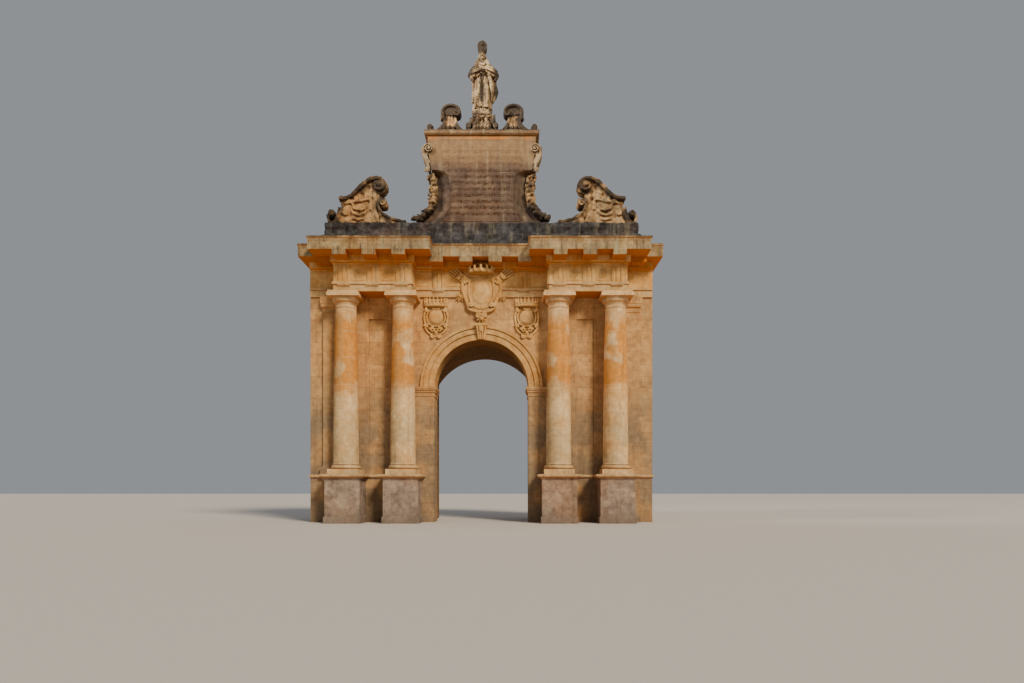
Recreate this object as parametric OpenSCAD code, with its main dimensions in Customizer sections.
// Baroque city gate: a round arch between two pairs of Doric columns, with an attic,
// an inscription tablet between scrolls and a figure on top.
// Millimetres, +Z up. The street front looks towards -Y. The origin is at the middle of the footprint.

/* [Passage] */
// Clear width of the arched opening
opening_w = 4260; // [3400:10:4800]
// Height from the top of the arch ring to the underside of the architrave
crown_gap = 1290; // [1150:10:1400]
// Width of the moulded arch ring on the face
ring_w = 640; // [400:10:760]
// How far the arch ring stands proud of the wall
ring_out = 120; // [60:5:160]
// Depth of the narrow front arch, from the wall face inwards
front_arch_t = 1200; // [800:10:1800]
// Clear width of the chamber behind the front arch
chamber_w = 4840; // [4820:10:5400]
// Radius of the chamber's vault
vault_r = 2850; // [2800:10:3400]

/* [Walls] */
// Width of the plain strip of wall outside the outer pilaster
strip_w = 600; // [400:10:1200]
// Depth of the masonry, front face to rear face
wall_t = 4600; // [3600:10:6000]
// Width of each pier strip beside the opening
pier_w = 910; // [760:10:980]
// How far the pier strips stand proud of the wall
pier_out = 60; // [30:5:110]
// Height of the impost moulding below the springing
impost_h = 430; // [300:10:520]
// How far the impost stands proud of the pier
impost_out = 110; // [60:5:150]
// Width of the sunk panel between the columns
panel_w = 730; // [500:10:900]
// Height of the foot of the sunk panel above the pedestals
panel_foot = 860; // [400:10:1400]
// Height of the sunk panel
panel_h = 6200; // [4500:10:6400]
// Depth of the sunk panel
panel_t = 120; // [60:5:200]

/* [Columns] */
// Distance from the edge of the pier strip to the inner column axis
inner_past = 425; // [400:5:480]
// Distance between the axes of the two columns of a pair
bay_w = 2535; // [2450:5:2800]
// Distance of the column axes in front of the wall
column_out = 590; // [580:5:700]
// Diameter of the shaft at its foot
shaft_d = 1120; // [1000:10:1200]
// Diameter of the shaft at its neck
neck_d = 905; // [860:5:940]
// Height of the shaft with its neck ring
shaft_h = 6940; // [6700:10:7100]
// Height of the square plinth and the round base mouldings together
base_h = 500; // [440:10:600]
// Width of the square column plinth
plinth_w = 1340; // [1330:10:1350]
// Height of the square column plinth
plinth_h = 240; // [200:10:280]
// Height of the capital
capital_h = 600; // [520:10:680]
// Width of the capital's square top slab
abacus_w = 1320; // [1240:10:1340]
// Height of the capital's square top slab
abacus_h = 240; // [160:10:280]

/* [Pedestals] */
// Width of the pedestal die
die_w = 1520; // [1460:10:1580]
// Height of the whole pedestal
pedestal_h = 2150; // [1900:10:2300]
// Height of the pedestal's foot block
foot_h = 330; // [250:10:420]
// How far the foot block stands proud of the die
foot_out = 50; // [30:5:80]
// Height of the pedestal's cap moulding
cap_h = 220; // [160:10:280]
// How far the cap moulding stands proud of the die
cap_out = 200; // [120:10:240]
// How far the cap moulding stands proud of the wall between the pedestals
course_out = 130; // [80:10:200]

/* [Responds] */
// Distance from the outer column axis to the flat pilaster's inner edge
respond_past = 450; // [440:5:500]
// Width of the flat pilaster beside the outer column
respond_w = 700; // [600:10:800]
// How far it stands proud of the wall
respond_out = 150; // [100:5:220]

/* [Entablature] */
// How far the middle entablature stands proud of the wall
centre_out = 100; // [60:10:200]
// Height of the architrave
architrave_h = 410; // [360:10:480]
// Height of the flat band on top of the architrave
taenia_h = 110; // [80:5:140]
// How far that band stands proud
taenia_out = 55; // [30:5:80]
// Height of the frieze
frieze_h = 740; // [680:10:800]
// Height of the moulding on top of the frieze
bed_h = 170; // [120:10:200]
// How far that moulding stands proud
bed_out = 130; // [80:10:180]
// Height of the square blocks under the cornice
mutule_h = 230; // [180:10:260]
// Width of the square blocks under the cornice
mutule_w = 580; // [500:10:640]
// How far the square blocks' faces lie behind the cornice slab's face
mutule_set = 20; // [10:5:80]
// Spacing of the square blocks in the middle
centre_step = 1300; // [1200:10:1350]
// Height of the cornice slab
corona_h = 510; // [440:10:560]
// How far the cornice slab stands proud of the frieze
corona_out = 900; // [760:10:940]
// Height of the fillet along the top edge of the cornice
fillet_h = 50; // [30:5:80]
// How far the fillet stands proud of the cornice slab
fillet_out = 30; // [20:5:60]
// How far the cornice slab runs past the ends of the wall
end_out = 270; // [100:10:320]
// How far the cornice slab stands proud of the rear face
rear_out = 350; // [250:10:450]
// Width of a triglyph
triglyph_w = 560; // [480:10:620]
// How far a triglyph stands proud of the frieze
triglyph_out = 45; // [30:5:60]

/* [Attic] */
// Height of the plinth above the cornice
attic_h = 1400; // [1200:10:1600]
// How far the attic plinth stops short of the end of the wall
attic_end = 450; // [300:10:600]
// Depth of the attic plinth, front to back
attic_t = 2600; // [2400:10:3200]
// Distance of the attic plinth's face behind the wall plane
attic_set = 100; // [0:10:200]
// Height of the tablet without its cornice
tablet_h = 4000; // [3700:10:4200]
// Width of the tablet at its head
tablet_head = 4990; // [4700:10:5200]
// Width of the tablet at its waist
tablet_waist = 4060; // [3900:10:4400]
// Width of the tablet at its foot
tablet_foot = 6300; // [6000:10:6600]
// Depth of the tablet
tablet_t = 1100; // [900:10:1400]
// Width of the raised slab at its waist
slab_w = 2880; // [2600:10:3100]
// Height of the full-width block over the slab
head_h = 1550; // [1300:10:1700]
// How far the raised slab stands proud
slab_out = 90; // [50:5:140]
// Height of the tablet's cornice
cap_slab_h = 300; // [240:10:360]
// How far the tablet's cornice stands proud
cap_slab_out = 160; // [120:10:220]
// Thickness of the scrolls beside the tablet
scroll_t = 620; // [500:10:800]
// Distance from the inner column axis outwards to the scroll's inner side
scroll_past = 890; // [800:5:950]
// Length of the scrolls' foot
scroll_l = 2350; // [2200:10:2450]
// Height of the scrolls
scroll_h = 2360; // [2200:10:2500]
// Radius of the scrolls' curled head
scroll_head_r = 430; // [380:10:480]

/* [Crown] */
// Height of the two small scrolls on top of the tablet
top_scroll_h = 1460; // [1360:10:1560]
// Distance from the axis to the middle of the small scrolls
top_scroll_x = 1480; // [1400:10:1560]
// Radius of the small scrolls' curled head
top_scroll_r = 480; // [440:10:520]
// Thickness of the small scrolls
top_scroll_t = 460; // [380:10:560]
// Height of the figure's pedestal
stand_h = 930; // [850:10:1050]
// Width of the figure's pedestal at its foot
stand_w = 1480; // [1300:10:1500]
// Height of the figure with its tall cap
figure_h = 3570; // [3300:10:3700]
// Width of the figure at its elbows
figure_w = 1360; // [1200:10:1500]

/* [Shields] */
// Gap between the keystone and the middle shield
shield_gap = 80; // [40:5:200]
// Width of the middle shield with its frame
shield_w = 1640; // [1400:10:1800]
// Depth of the middle shield
shield_t = 260; // [180:10:320]
// Height of the side shields with their crowns
side_shield_h = 1850; // [1700:10:1900]
// Width of the side shields
side_shield_w = 1130; // [1000:10:1200]
// Depth of the side shields
side_shield_t = 190; // [150:5:260]
// How far the side shields' middle lies inside the opening's edge
side_shield_in = 70; // [40:5:120]
// Width of the keystone at its head
key_w = 560; // [440:10:640]
// How far the keystone stands proud of the wall
key_out = 330; // [220:10:400]
// How far the keystone rises past the arch ring
key_past = 80; // [40:5:140]

/* [Hidden] */

eps = 0.01;
honey = "BurlyWood";
pale = "Wheat";
crust = "DimGray";
grey_stone = "Tan";

opening_r = opening_w / 2;
ring_r = opening_r + ring_w;
pier_x = opening_r + pier_w;
chamber_half = chamber_w / 2;
inner_x = pier_x + inner_past;
outer_x = inner_x + bay_w;
respond_x = outer_x + respond_past + respond_w;
half_w = respond_x + strip_w;
attic_half = half_w - attic_end;
scroll_in = inner_x + scroll_past;
side_shield_x = opening_r - side_shield_in;

plinth_z = pedestal_h;
shaft_z = plinth_z + base_h;
capital_z = shaft_z + shaft_h;
entablature_z = capital_z + capital_h;
spring_z = entablature_z - crown_gap - ring_r;
key_z = spring_z + opening_r + 10;
key_top = spring_z + ring_r + key_past;
frieze_z = entablature_z + architrave_h;
bed_z = frieze_z + frieze_h;
mutule_z = bed_z + bed_h;
corona_z = mutule_z + mutule_h;
attic_z = corona_z + corona_h + fillet_h;
tablet_z = attic_z + attic_h;
tablet_top = tablet_z + tablet_h;
crown_z = tablet_top + cap_slab_h;
figure_z = crown_z + stand_h;

block_out = column_out + neck_d / 2;
block_x0 = inner_x - neck_d / 2;
block_x1 = outer_x + neck_d / 2;
front_reach = block_out + corona_out + fillet_out;
back_reach = wall_t + rear_out + fillet_out;
wall_y = (front_reach - back_reach) / 2;
attic_y = wall_y + attic_set;
tablet_y = attic_y + attic_t / 2 - 400;
shield_h = (bed_z - key_top - shield_gap - 5) / 1.46;
shield_z = key_top + shield_gap + shield_h / 2;
side_shield_z = entablature_z + 10 - side_shield_h / 2;

// A box between two X values, two distances in front of the wall plane and two heights.
module stone(x0, x1, out0, out1, z0, z1)
    translate([x0, wall_y - out1, z0])
        cube([x1 - x0, out1 - out0, z1 - z0]);

// Draws its children once more, mirrored to the other side of the gate's axis.
module other_side() mirror([1, 0, 0]) children();

// Half of the masonry: front strip beside the pier and the deep mass beside the chamber.
module wall_half() {
    panel_x0 = (inner_x + outer_x) / 2 - panel_w / 2;
    panel_z0 = pedestal_h + panel_foot;
    difference() {
        union() {
            stone(pier_x, half_w, -wall_t, 0, 0, entablature_z);
            stone(chamber_half, pier_x + eps, -wall_t, -front_arch_t, 0, entablature_z);
        }
        stone(panel_x0, panel_x0 + panel_w, -panel_t, eps * 100, panel_z0, panel_z0 + panel_h);
    }
}

module left_wall() color(honey) other_side() wall_half();

module right_wall() color(honey) wall_half();

// The wall over the opening, cut by the outside of the arch ring.
module spandrel_wall() color(honey)
    difference() {
        stone(-pier_x, pier_x, -front_arch_t, 0, spring_z, entablature_z);
        translate([0, wall_y + front_arch_t / 2, spring_z])
            rotate([90, 0, 0])
                cylinder(r = ring_r, h = front_arch_t * 2, center = true, $fn = 96);
    }

// The mass over the chamber, with its round vault.
module passage_vault() color(grey_stone) {
    apex_z = spring_z + opening_r;
    centre_z = apex_z - vault_r;
    vault_foot = centre_z + sqrt(vault_r * vault_r - chamber_half * chamber_half);
    difference() {
        stone(-chamber_half, chamber_half, -wall_t, -front_arch_t, vault_foot, entablature_z);
        translate([0, wall_y + (wall_t + front_arch_t) / 2, centre_z])
            rotate([90, 0, 0])
                cylinder(r = vault_r, h = wall_t * 2, center = true, $fn = 96);
    }
}

// One band of the arch ring: inner radius, outer radius and how far it stands proud.
module ring_band(r0, r1, out)
    translate([0, wall_y + front_arch_t, spring_z])
        rotate([90, 0, 0])
            linear_extrude(height = front_arch_t + out)
                intersection() {
                    difference() {
                        circle(r = r1, $fn = 96);
                        circle(r = r0, $fn = 96);
                    }
                    translate([-r1, 0]) square([2 * r1, r1]);
                }

module archivolt() color(pale)
    union() {
        ring_band(opening_r, opening_r + ring_w * 0.42, ring_out * 0.5);
        ring_band(opening_r + ring_w * 0.42, opening_r + ring_w * 0.82, ring_out * 0.75);
        ring_band(opening_r + ring_w * 0.82, ring_r, ring_out);
    }

// A wedge standing in front of the arch ring, fluted on its face.
module keystone() color(pale) {
    key_h = key_top - key_z;
    foot_w = key_w * 0.62;
    flute_r = key_w * 0.07;
    translate([0, wall_y - ring_out - 0.3, key_z])
        rotate([90, 0, 0])
            linear_extrude(height = key_out - ring_out)
                difference() {
                    polygon([[-foot_w / 2, 0], [foot_w / 2, 0], [key_w / 2, key_h], [-key_w / 2, key_h]]);
                    for (side = [-1, 1])
                        translate([side * key_w * 0.17, -eps])
                            square([flute_r, key_h * 0.86], center = false);
                }
}

// A flat pier strip from the ground to the springing, with its impost moulding.
module arch_pier() {
    impost_z = spring_z - impost_h;
    stone(opening_r, pier_x, -front_arch_t, pier_out, 0, impost_z);
    stone(opening_r - impost_out * 0.5, pier_x, -front_arch_t, pier_out + impost_out * 0.5,
        impost_z, impost_z + impost_h * 0.6);
    stone(opening_r - impost_out, pier_x, -front_arch_t, pier_out + impost_out,
        impost_z + impost_h * 0.6, spring_z);
}

module left_arch_pier() color(honey) other_side() union() arch_pier();

module right_arch_pier() color(honey) union() arch_pier();

// A pedestal at one column: foot block, die and two-step cap, all built back to the wall.
module pedestal(axis_x) {
    half = die_w / 2;
    face = column_out + half;
    union() {
        stone(axis_x - half - foot_out, axis_x + half + foot_out, 0, face + foot_out, 0, foot_h);
        stone(axis_x - half, axis_x + half, 0, face, foot_h, pedestal_h - cap_h);
        stone(axis_x - half - cap_out / 2, axis_x + half + cap_out / 2, 0, face + cap_out / 2,
            pedestal_h - cap_h, pedestal_h - cap_h / 2);
        stone(axis_x - half - cap_out, axis_x + half + cap_out, 0, face + cap_out,
            pedestal_h - cap_h / 2, pedestal_h);
    }
}

module left_outer_pedestal() color(grey_stone) pedestal(-outer_x);

module left_inner_pedestal() color(grey_stone) pedestal(-inner_x);

module right_inner_pedestal() color(grey_stone) pedestal(inner_x);

module right_outer_pedestal() color(grey_stone) pedestal(outer_x);

// Takes off what would reach into the wall behind a column.
module in_front_of_wall()
    difference() {
        children();
        stone(-half_w, half_w, -wall_t, 0, 0, attic_z);
    }

// The square plinth and the round mouldings under a shaft.
module column_base(axis_x) {
    torus_r = (base_h - plinth_h) * 0.34;
    torus_x = plinth_w / 2 - torus_r;
    in_front_of_wall()
        translate([axis_x, wall_y - column_out, plinth_z])
            union() {
                translate([-plinth_w / 2, -plinth_w / 2, 0]) cube([plinth_w, plinth_w, plinth_h]);
                translate([0, 0, plinth_h])
                    rotate_extrude($fn = 48)
                        union() {
                            square([torus_x, base_h - plinth_h]);
                            translate([torus_x, torus_r]) circle(r = torus_r, $fn = 24);
                        }
            }
}

module left_column_bases() color(pale)
    for (axis_x = [-outer_x, -inner_x])
        column_base(axis_x);

module right_column_bases() color(pale)
    for (axis_x = [inner_x, outer_x])
        column_base(axis_x);

// A tapering shaft with a slight swelling, and a neck ring at its top.
module shaft(axis_x) {
    foot_r = shaft_d / 2;
    top_r = neck_d / 2;
    steps = 8;
    profile = [for (i = [0:steps])
        let (t = i / steps)
        [foot_r - (foot_r - top_r) * pow(t, 1.7), shaft_h * t]];
    translate([axis_x, wall_y - column_out, shaft_z])
        rotate_extrude($fn = 48)
            polygon(concat([[0, 0]], profile, [[0, shaft_h]]));
}

module left_outer_shaft() color(pale) shaft(-outer_x);

module left_inner_shaft() color(pale) shaft(-inner_x);

module right_inner_shaft() color(pale) shaft(inner_x);

module right_outer_shaft() color(pale) shaft(outer_x);

// The round swelling and the square slab over a shaft.
module capital(axis_x) {
    neck_r = neck_d / 2;
    round_h = capital_h - abacus_h;
    echinus_r = abacus_w * 0.46;
    in_front_of_wall()
        translate([axis_x, wall_y - column_out, capital_z])
            union() {
                rotate_extrude($fn = 48)
                    polygon([[0, 0], [neck_r, 0], [neck_r + 40, round_h * 0.3], [echinus_r, round_h * 0.85],
                        [echinus_r, round_h + eps], [0, round_h + eps]]);
                translate([-abacus_w / 2, -abacus_w / 2, round_h])
                    cube([abacus_w, abacus_w, abacus_h]);
            }
}

module left_column_capitals() color(pale)
    for (axis_x = [-outer_x, -inner_x])
        capital(axis_x);

module right_column_capitals() color(pale)
    for (axis_x = [inner_x, outer_x])
        capital(axis_x);

// A flat pilaster at the outer side of the outer column, on its own low pedestal.
module respond() {
    x0 = respond_x - respond_w;
    cap_w = 110;
    union() {
        stone(x0, respond_x, 0, respond_out, 0, entablature_z);
        stone(x0, respond_x + foot_out, 0, respond_out + foot_out, 0, foot_h);
        stone(x0, respond_x + cap_w, 0, respond_out + cap_w, plinth_z, plinth_z + base_h * 0.8);
        stone(x0, respond_x + cap_w / 2, 0, respond_out + cap_w / 2, capital_z, entablature_z - abacus_h);
        stone(x0, respond_x + cap_w, 0, respond_out + cap_w, entablature_z - abacus_h, entablature_z);
    }
}

module left_respond() color(honey)
    difference() {
        other_side() respond();
        pedestal_room(-outer_x);
        column_room(-outer_x);
    }

module right_respond() color(honey)
    difference() {
        respond();
        pedestal_room(outer_x);
        column_room(outer_x);
    }

// The room that a column's square plinth and square capital slab take.
module column_room(axis_x) {
    stone(axis_x - plinth_w / 2, axis_x + plinth_w / 2, -10, wall_t, plinth_z, shaft_z);
    stone(axis_x - abacus_w / 2, axis_x + abacus_w / 2, -10, wall_t, capital_z, entablature_z + 10);
}

// The room that a pedestal takes, so that what adjoins it ends at its faces.
module pedestal_room(axis_x) {
    half = die_w / 2;
    stone(axis_x - half, axis_x + half, -10, wall_t, -10, pedestal_h - cap_h);
    stone(axis_x - half - foot_out, axis_x + half + foot_out, -10, wall_t, -10, foot_h);
    stone(axis_x - half - cap_out, axis_x + half + cap_out, -10, wall_t, pedestal_h - cap_h, pedestal_h);
}

// The pedestals' cap moulding carried along the wall beside and between them.
module dado_course() {
    z0 = pedestal_h - cap_h;
    inner_end = inner_x - die_w / 2 - cap_out;
    gap0 = inner_x + die_w / 2 + cap_out;
    gap1 = outer_x - die_w / 2 - cap_out;
    outer_end = outer_x + die_w / 2 + cap_out;
    stone(gap0, gap1, 0, course_out, z0, pedestal_h);
    difference() {
        stone(outer_end, half_w + 60, 0, respond_out + course_out, z0, pedestal_h);
        stone(0, respond_x, -10, respond_out, 0, pedestal_h + 10);
    }
}

module left_dado_course() color(grey_stone) other_side() dado_course();

module right_dado_course() color(grey_stone) dado_course();

module architrave() color(pale)
    union() {
        stone(-half_w, half_w, -wall_t, centre_out, entablature_z, frieze_z - taenia_h);
        stone(-half_w, half_w, -wall_t, centre_out + taenia_out, frieze_z - taenia_h, frieze_z);
    }

// The architrave over one pair of columns, from the middle entablature's face outwards.
module architrave_block() {
    union() {
        stone(block_x0, block_x1, centre_out, block_out, entablature_z, frieze_z - taenia_h);
        stone(block_x0 - taenia_out, block_x1 + taenia_out, centre_out + taenia_out,
            block_out + taenia_out, frieze_z - taenia_h, frieze_z);
        stone(block_x0, block_x1, centre_out + taenia_out, block_out, frieze_z - taenia_h - eps, frieze_z);
    }
}

module left_architrave_block() color(pale) other_side() architrave_block();

module right_architrave_block() color(pale) architrave_block();

module frieze() color(honey)
    union() {
        stone(-half_w, half_w, -wall_t, centre_out, frieze_z, bed_z);
        stone(-half_w, half_w, -wall_t, centre_out + bed_out, bed_z, mutule_z);
    }

// The frieze over one pair of columns, with the moulding on top of it.
module frieze_block() {
    union() {
        stone(block_x0, block_x1, centre_out, block_out, frieze_z, bed_z);
        stone(block_x0 - bed_out, block_x1 + bed_out, centre_out + bed_out, block_out + bed_out,
            bed_z, mutule_z);
    }
}

module left_frieze_block() color(honey) other_side() frieze_block();

module right_frieze_block() color(honey) frieze_block();

// A triglyph: a slab with two full grooves, standing on a face at a distance in front of the wall.
module triglyph(mid_x, face) {
    groove = triglyph_w * 0.12;
    difference() {
        stone(mid_x - triglyph_w / 2, mid_x + triglyph_w / 2, face, face + triglyph_out, frieze_z, bed_z);
        for (side = [-1, 1])
            stone(mid_x + side * triglyph_w / 6 - groove / 2, mid_x + side * triglyph_w / 6 + groove / 2,
                face + triglyph_out * 0.4, face + triglyph_out + 1, frieze_z - 1, bed_z - 70);
    }
}

block_mid = (inner_x + outer_x) / 2;
centre_triglyph_x = 1.5 * centre_step;

module triglyphs() color(pale) {
    for (mid_x = [-outer_x, -block_mid, -inner_x, inner_x, block_mid, outer_x])
        triglyph(mid_x, block_out);
    for (side = [-1, 1])
        triglyph(side * centre_triglyph_x, centre_out);
}

// A square block hanging under the cornice slab, from the moulding on the frieze outwards.
module mutule(mid_x, face)
    stone(mid_x - mutule_w / 2, mid_x + mutule_w / 2, face + bed_out, face + corona_out - mutule_set, mutule_z, corona_z);

// The square blocks: three over each pair of columns and four in the middle.
module mutules() color(honey) {
    for (side = [-1, 1])
        for (mid_x = [inner_x, block_mid, outer_x])
            mutule(side * mid_x, block_out);
    for (step = [-1.5:1.5])
        mutule(step * centre_step, centre_out);
}

module cornice() color(grey_stone)
    union() {
        stone(-half_w, half_w, -wall_t, centre_out + bed_out, mutule_z, corona_z);
        stone(-half_w - end_out, half_w + end_out, -wall_t - rear_out, centre_out + corona_out,
            corona_z, corona_z + corona_h);
        stone(-half_w - end_out - fillet_out, half_w + end_out + fillet_out, -wall_t - rear_out - fillet_out,
            centre_out + corona_out + fillet_out, corona_z + corona_h, attic_z);
    }

// The cornice over one pair of columns, from the middle cornice's face outwards.
module cornice_block() {
    x0 = block_x0 - corona_out;
    x1 = block_x1 + corona_out;
    face = centre_out + corona_out;
    union() {
        stone(block_x0 - bed_out, block_x1 + bed_out, centre_out + bed_out, block_out + bed_out,
            mutule_z, corona_z);
        stone(x0, x1, face, block_out + corona_out, corona_z, corona_z + corona_h);
        stone(x0 - fillet_out, x1 + fillet_out, face + fillet_out, block_out + corona_out + fillet_out,
            corona_z + corona_h, attic_z);
        stone(x0, x1, face + fillet_out - eps, block_out + corona_out, corona_z + corona_h - eps, attic_z);
    }
}

module left_cornice_block() color(grey_stone) other_side() cornice_block();

module right_cornice_block() color(grey_stone) cornice_block();

module attic_plinth() color(crust)
    union() {
        translate([-attic_half, attic_y, attic_z]) cube([2 * attic_half, attic_t, attic_h * 0.6]);
        translate([-attic_half + 120, attic_y + 60, attic_z + attic_h * 0.6])
            cube([2 * attic_half - 240, attic_t - 120, attic_h * 0.4]);
    }

// A soft rise from 0 to 1.
function ease(t) = let (u = min(1, max(0, t))) u * u * (3 - 2 * u);

// Half of the tablet's width at a share of its height, flared at the foot and the head.
function tablet_half(t) = tablet_waist / 2
    + (tablet_foot - tablet_waist) / 2 * pow(1 - t, 8)
    + (tablet_head - tablet_waist) / 2 * ease((t - 0.3) / 0.55);

// Half of the slab's width at the same share of the height.
function slab_half(t) = slab_w / 2 * (1 + 0.33 * pow(1 - t, 5) + 0.3 * ease((t - 0.4) / 0.45));

// The outline between two shares of the tablet's height, from a half-width's function values.
function both_sides(halves, heights) = concat(
    [for (i = [0:len(halves) - 1]) [halves[i], heights[i]]],
    [for (i = [len(halves) - 1:-1:0]) [-halves[i], heights[i]]]);

module tablet() color(grey_stone) {
    shares = [0, 0.03, 0.06, 0.1, 0.15, 0.22, 0.3, 0.4, 0.5, 0.6, 0.7, 0.8, 0.9, 1];
    translate([0, tablet_y + tablet_t / 2, tablet_z])
        rotate([90, 0, 0])
            linear_extrude(height = tablet_t)
                polygon(both_sides([for (t = shares) tablet_half(t)], [for (t = shares) tablet_h * t]));
}

// The raised inscription slab, left bare, and the full-width block over it.
module tablet_slab() color(grey_stone) {
    slab_top = (tablet_h - head_h) / tablet_h;
    steps = 9;
    shares = [for (i = [0:steps]) slab_top * i / steps];
    head_shares = [for (i = [0:4]) slab_top + (1 - slab_top) * i / 4];
    translate([0, tablet_y - tablet_t / 2, tablet_z])
        rotate([90, 0, 0])
            linear_extrude(height = slab_out)
                union() {
                    polygon(both_sides([for (t = shares) slab_half(t)], [for (t = shares) tablet_h * t]));
                    polygon(both_sides([for (t = head_shares) tablet_half(t)],
                        [for (t = head_shares) tablet_h * t]));
                }
}

module tablet_cornice() color(crust)
    union() {
        for (step = [[0, 0.5, 0.45], [0.45, 1, 1]])
            translate([-tablet_head / 2 - cap_slab_out * step[2], tablet_y - tablet_t / 2 - cap_slab_out * step[2],
                tablet_top + cap_slab_h * step[0]])
                cube([tablet_head + 2 * cap_slab_out * step[2], tablet_t + 2 * cap_slab_out * step[2],
                    cap_slab_h * (step[1] - step[0])]);
    }

// A scroll over a pair of columns: a leaning back that rises to a head curled towards the axis.
// Its corners are shares of its length and its height, from the inner end of its foot.
SCROLL_SHARES = [[0.19, 0], [0.085, 0.28], [0.1, 0.55], [0.135, 0.605], [0.172, 0.818], [0.312, 0.935],
    [0.436, 0.873], [0.615, 0.716], [0.747, 0.61], [0.879, 0.563], [1, 0.538], [0.94, 0.466],
    [0.947, 0.326], [0.896, 0]];

module side_scroll() {
    lobe_r = scroll_head_r * 0.56;
    translate([scroll_in, tablet_y + scroll_t / 2, tablet_z])
        rotate([90, 0, 0])
            linear_extrude(height = scroll_t)
                union() {
                    polygon([for (share = SCROLL_SHARES) [share[0] * scroll_l, share[1] * scroll_h]]);
                    translate([scroll_l * 0.172, scroll_h - scroll_head_r]) circle(r = scroll_head_r, $fn = 32);
                    translate([lobe_r, scroll_h * 0.415]) circle(r = lobe_r, $fn = 24);
                }
}

module left_side_scroll() color(crust) other_side() side_scroll();

module right_side_scroll() color(crust) side_scroll();

// A small scroll on the tablet's cornice, its head curled towards the figure, and a curl at the corner.
// The corners of its neck and foot are multiples of its head's radius.
NECK_SHARES = [[-1.2, 0], [1.75, 0], [1.75, 0.17], [1.15, 0.7], [0.68, 1.17], [0.55, 1.7], [0.75, 2.4],
    [-0.6, 2.4], [-0.5, 1.75], [-0.48, 1.25], [-0.7, 0.88], [-1.15, 0.5]];

module top_scroll() {
    head_half = top_scroll_r * 0.68;
    ball_r = top_scroll_r * 0.37;
    ball_x = tablet_head / 2;
    translate([0, tablet_y + top_scroll_t / 2, crown_z])
        rotate([90, 0, 0])
            linear_extrude(height = top_scroll_t)
                union() {
                    translate([top_scroll_x, top_scroll_h - head_half])
                        polygon(oval(2 * top_scroll_r, 2 * head_half));
                    translate([top_scroll_x, 0])
                        polygon([for (share = NECK_SHARES) share * top_scroll_r]);
                    translate([ball_x, ball_r * 2.1]) circle(r = ball_r, $fn = 24);
                    translate([ball_x - ball_r * 0.8, 0]) square([ball_r * 1.6, ball_r * 2]);
                }
}

module left_top_scroll() color(crust) other_side() top_scroll();

module right_top_scroll() color(crust) top_scroll();

module statue_pedestal() color(grey_stone) {
    top_w = stand_w * 0.7;
    foot_t = stand_w * 0.75;
    translate([0, tablet_y, crown_z])
        union() {
            translate([-stand_w / 2, -foot_t / 2, 0]) cube([stand_w, foot_t, stand_h * 0.3]);
            translate([-top_w / 2, -top_w / 2, 0]) cube([top_w, top_w, stand_h]);
        }
}

// A standing figure in a long cope, its arms folded on the chest, with a tall pointed cap.
module statue() color(grey_stone)
    translate([0, tablet_y, figure_z]) {
        robe_r = figure_w * 0.34;
        shoulder_z = figure_h * 0.68;
        head_z = figure_h * 0.79;
        hull() {
            scale([1, 0.85, 1]) cylinder(r = robe_r, h = figure_h * 0.08, $fn = 28);
            translate([0, 0, figure_h * 0.5]) scale([1.05, 0.8, 1]) cylinder(r = robe_r, h = 40, $fn = 28);
        }
        hull() {
            translate([0, 0, figure_h * 0.48]) scale([1.1, 0.8, 1]) cylinder(r = robe_r, h = 60, $fn = 28);
            for (side = [-1, 1])
                translate([side * robe_r * 0.8, 0, shoulder_z]) sphere(r = robe_r * 0.42, $fn = 20);
        }
        for (side = [-1, 1])
            hull() {
                translate([side * robe_r * 0.95, 0, shoulder_z]) sphere(r = robe_r * 0.36, $fn = 20);
                translate([side * (figure_w / 2 - robe_r * 0.34), -robe_r * 0.3, figure_h * 0.52])
                    sphere(r = robe_r * 0.34, $fn = 20);
                translate([side * robe_r * 0.3, -robe_r * 0.75, figure_h * 0.58])
                    sphere(r = robe_r * 0.24, $fn = 20);
            }
        hull() {
            translate([0, 0, shoulder_z]) cylinder(r = robe_r * 0.4, h = 40, $fn = 24);
            translate([0, 0, head_z]) scale([0.85, 1, 1.25]) sphere(r = robe_r * 0.48, $fn = 24);
        }
        hull() {
            translate([0, 0, head_z + robe_r * 0.25]) cylinder(r = robe_r * 0.44, h = 40, $fn = 24);
            translate([-robe_r * 0.48, -robe_r * 0.35, figure_h * 0.92])
                cube([robe_r * 0.96, robe_r * 0.7, 20]);
            translate([-robe_r * 0.15, -robe_r * 0.3, figure_h - 20]) cube([robe_r * 0.3, robe_r * 0.6, 20]);
        }
    }

// The corners of an upright oval of a width and a height.
function oval(w, h, n = 40) = [for (i = [0:n - 1]) [w / 2 * cos(360 * i / n), h / 2 * sin(360 * i / n)]];

// The outline of the fluted wing at the upper right of the middle shield.
function wing() = [[shield_w * 0.25, shield_h * 0.3], [shield_w * 0.42, shield_h * 0.2],
    [shield_w * 0.87, shield_h * 0.68], [shield_w * 0.7, shield_h * 0.78]];

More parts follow.
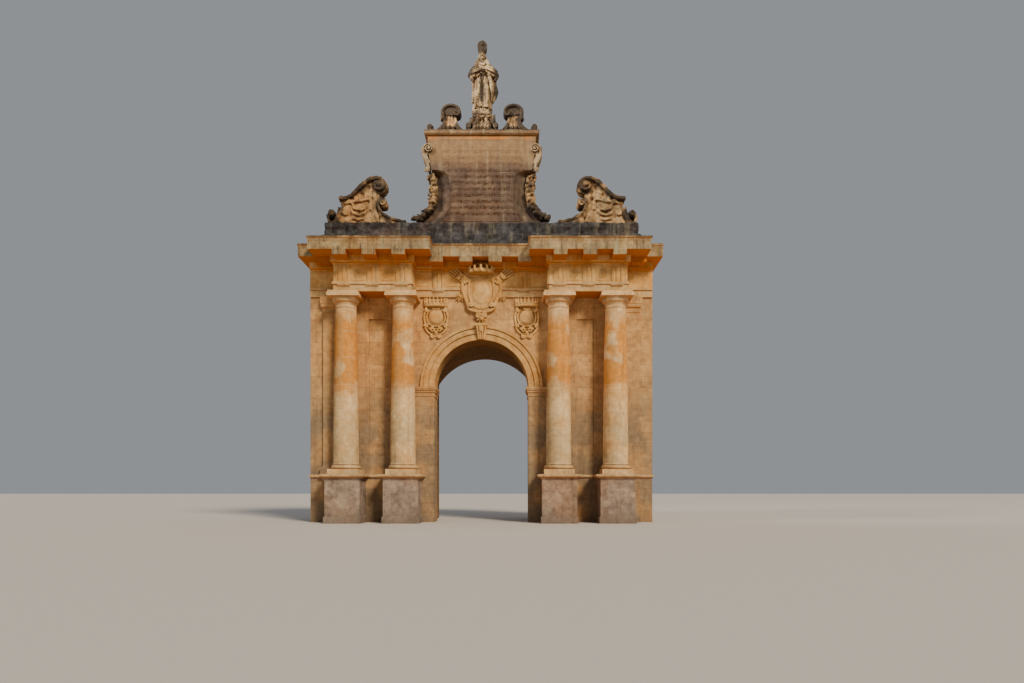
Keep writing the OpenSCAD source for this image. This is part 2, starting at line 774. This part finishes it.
// The oval shield in the middle, its strapwork frame with two wings, and the crown over it.
module central_shield() color(pale)
    translate([0, wall_y - centre_out - taenia_out - 0.3, shield_z])
        rotate([90, 0, 0])
            union() {
                linear_extrude(height = shield_t * 0.5)
                    union() {
                        polygon(oval(shield_w, shield_h));
                        polygon(wing());
                        mirror([1, 0]) polygon(wing());
                    }
                linear_extrude(height = shield_t * 0.8)
                    polygon(oval(shield_w * 0.64, shield_h * 0.84));
                linear_extrude(height = shield_t)
                    polygon([[-shield_w * 0.3, shield_h * 0.46], [shield_w * 0.3, shield_h * 0.46],
                        [shield_w * 0.36, shield_h * 0.86], [0, shield_h * 0.96],
                        [-shield_w * 0.36, shield_h * 0.86]]);
            }

// A smaller shield under a crown, standing on the spandrel.
module side_shield(mid_x)
    difference() {
        translate([mid_x, wall_y - 0.3, side_shield_z])
            rotate([90, 0, 0])
                linear_extrude(height = side_shield_t)
                    union() {
                        translate([0, -side_shield_h * 0.12])
                            polygon(oval(side_shield_w * 0.99, side_shield_h * 0.76));
                        translate([-side_shield_w * 0.42, side_shield_h * 0.3])
                            square([side_shield_w * 0.84, side_shield_h * 0.2]);
                        translate([-side_shield_w * 0.2, 0]) square([side_shield_w * 0.4, side_shield_h * 0.4]);
                    }
        stone(-half_w, half_w, -wall_t, centre_out + 0.3, entablature_z - 0.3, frieze_z);
        ring_band(0, ring_r + 0.3, ring_out + 0.3);
    }

module side_shields() color(pale)
    for (side = [-1, 1])
        side_shield(side * side_shield_x);

left_wall();
right_wall();
spandrel_wall();
passage_vault();
archivolt();
keystone();
left_arch_pier();
right_arch_pier();
left_outer_pedestal();
left_inner_pedestal();
right_inner_pedestal();
right_outer_pedestal();
left_column_bases();
right_column_bases();
left_outer_shaft();
left_inner_shaft();
right_inner_shaft();
right_outer_shaft();
left_column_capitals();
right_column_capitals();
left_respond();
right_respond();
left_dado_course();
right_dado_course();
architrave();
left_architrave_block();
right_architrave_block();
frieze();
left_frieze_block();
right_frieze_block();
triglyphs();
mutules();
cornice();
left_cornice_block();
right_cornice_block();
attic_plinth();
tablet();
tablet_slab();
tablet_cornice();
left_side_scroll();
right_side_scroll();
left_top_scroll();
right_top_scroll();
statue_pedestal();
statue();
central_shield();
side_shields();
